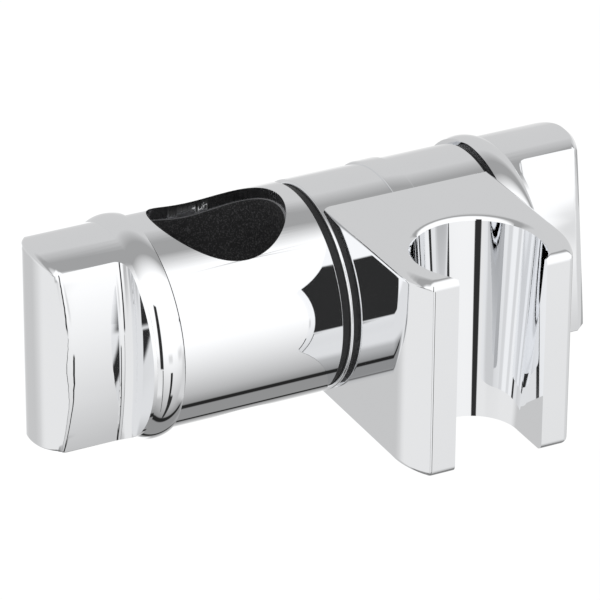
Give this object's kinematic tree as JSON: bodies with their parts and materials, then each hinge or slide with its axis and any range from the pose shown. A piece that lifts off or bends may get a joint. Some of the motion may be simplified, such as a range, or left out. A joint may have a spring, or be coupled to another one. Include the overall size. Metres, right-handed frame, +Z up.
{
  "type": "shower rail slider",
  "caption": "Chrome shower rail slider with wing knobs at both ends and a tilting conical handset holder with an open front",
  "frame": {"origin": "where the rail's axis crosses the barrel's axis", "axes": "+X along the barrel from the clamp knob to the tilt knob, -Y out of the holder's mouth, +Z up along the rail"},
  "size_m": [0.1129, 0.0659, 0.0422],
  "materials": {
    "chrome": "polished mirror chrome",
    "black_liner": "fine grained black moulding",
    "black_ring": "smooth black",
    "white_bush": "natural acetal",
    "rubber": "dull black rubber",
    "brass": "turned brass",
    "steel": "turned stainless steel"
  },
  "bodies": {
    "slider_body": {"rail_sleeve": "chrome", "rail_liner": "black_liner", "clamp_bush": "brass", "clamp_thrust_washer": "steel", "swivel_plug": "brass", "swivel_spindle": "steel", "friction_washer": "black_ring", "drag_ring": "rubber", "friction_disc": "black_ring", "thrust_washer": "steel", "disc_springs": "steel", "spring_collar": "brass", "spindle_end_clip": "steel"},
    "clamp_knob_body": {"clamp_knob": "chrome", "clamp_spindle": "steel", "spindle_circlip": "steel", "clamp_knob_ring": "black_ring"},
    "clamp_shoe_body": {"clamp_shoe": "black_liner", "shoe_nut": "brass", "shoe_pad": "rubber"},
    "holder_body": {"holder": "chrome", "holder_bush": "white_bush", "tilt_knob_ring": "black_ring"},
    "tilt_knob_body": {"tilt_knob": "chrome", "tilt_knob_snap_ring": "steel"},
    "tilt_nut_body": {"tilt_nut": "brass"}
  },
  "joints": [
    {"name": "clamp_turn", "type": "hinge", "parent": "slider_body", "child": "clamp_knob_body", "pos_m": [-0.0165, 0, 0], "axis": [1, 0, 0], "range_deg": [-306, 54]},
    {"name": "shoe_slide", "type": "slide", "parent": "slider_body", "child": "clamp_shoe_body", "axis": [1, 0, 0], "range_m": [-0.00086, 0.00016]},
    {"name": "holder_tilt", "type": "hinge", "parent": "slider_body", "child": "holder_body", "pos_m": [0.0352, 0, 0], "axis": [1, 0, 0], "continuous": true},
    {"name": "tilt_knob_turn", "type": "hinge", "parent": "slider_body", "child": "tilt_knob_body", "pos_m": [0.0534, 0, 0], "axis": [1, 0, 0], "range_deg": [0, 120]},
    {"name": "tilt_nut_slide", "type": "slide", "parent": "tilt_knob_body", "child": "tilt_nut_body", "axis": [1, 0, 0], "range_m": [0, 0.00042]}
  ],
  "couplings": [
    {"joint": "shoe_slide", "follows": "clamp_turn", "m_per_rad": 0.00015915},
    {"joint": "tilt_nut_slide", "follows": "tilt_knob_turn", "m_per_rad": 0.00019894}
  ]
}
